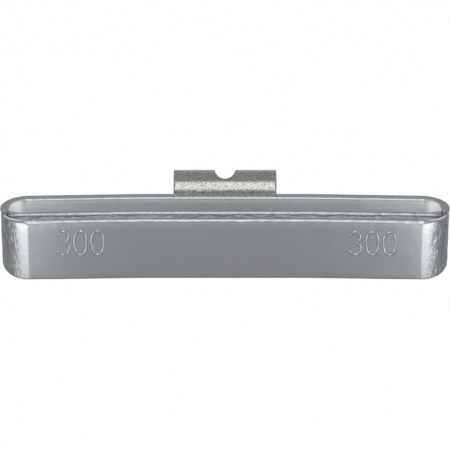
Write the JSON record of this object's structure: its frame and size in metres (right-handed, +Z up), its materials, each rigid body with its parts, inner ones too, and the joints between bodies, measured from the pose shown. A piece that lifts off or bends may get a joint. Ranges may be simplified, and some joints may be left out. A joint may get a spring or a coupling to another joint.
{
  "type": "clip-on wheel balance weight",
  "caption": "Clip-on balance weight for a truck wheel: cored zinc bar with full round ends and a cast-in spring steel clip that grips the rim flange.",
  "frame": {"origin": "on the back face, at mid length, level with the top of the back wall, where the rim's flange edge enters the clip", "axes": "+X along the bar, -Y out of the numbered front face, +Y towards the rim flange, +Z up out of the wheel, towards the crown of the clip"},
  "size_m": [0.152, 0.0266, 0.0306],
  "materials": {
    "zinc_casting": "silver-grey die-cast surface, satin, with rough trimmed edges",
    "spring_steel": "dull zinc-plated spring steel with fine specks"
  },
  "bodies": {
    "root": {"cast_body": "zinc_casting", "steel_clip": "spring_steel"}
  },
  "joints": []
}
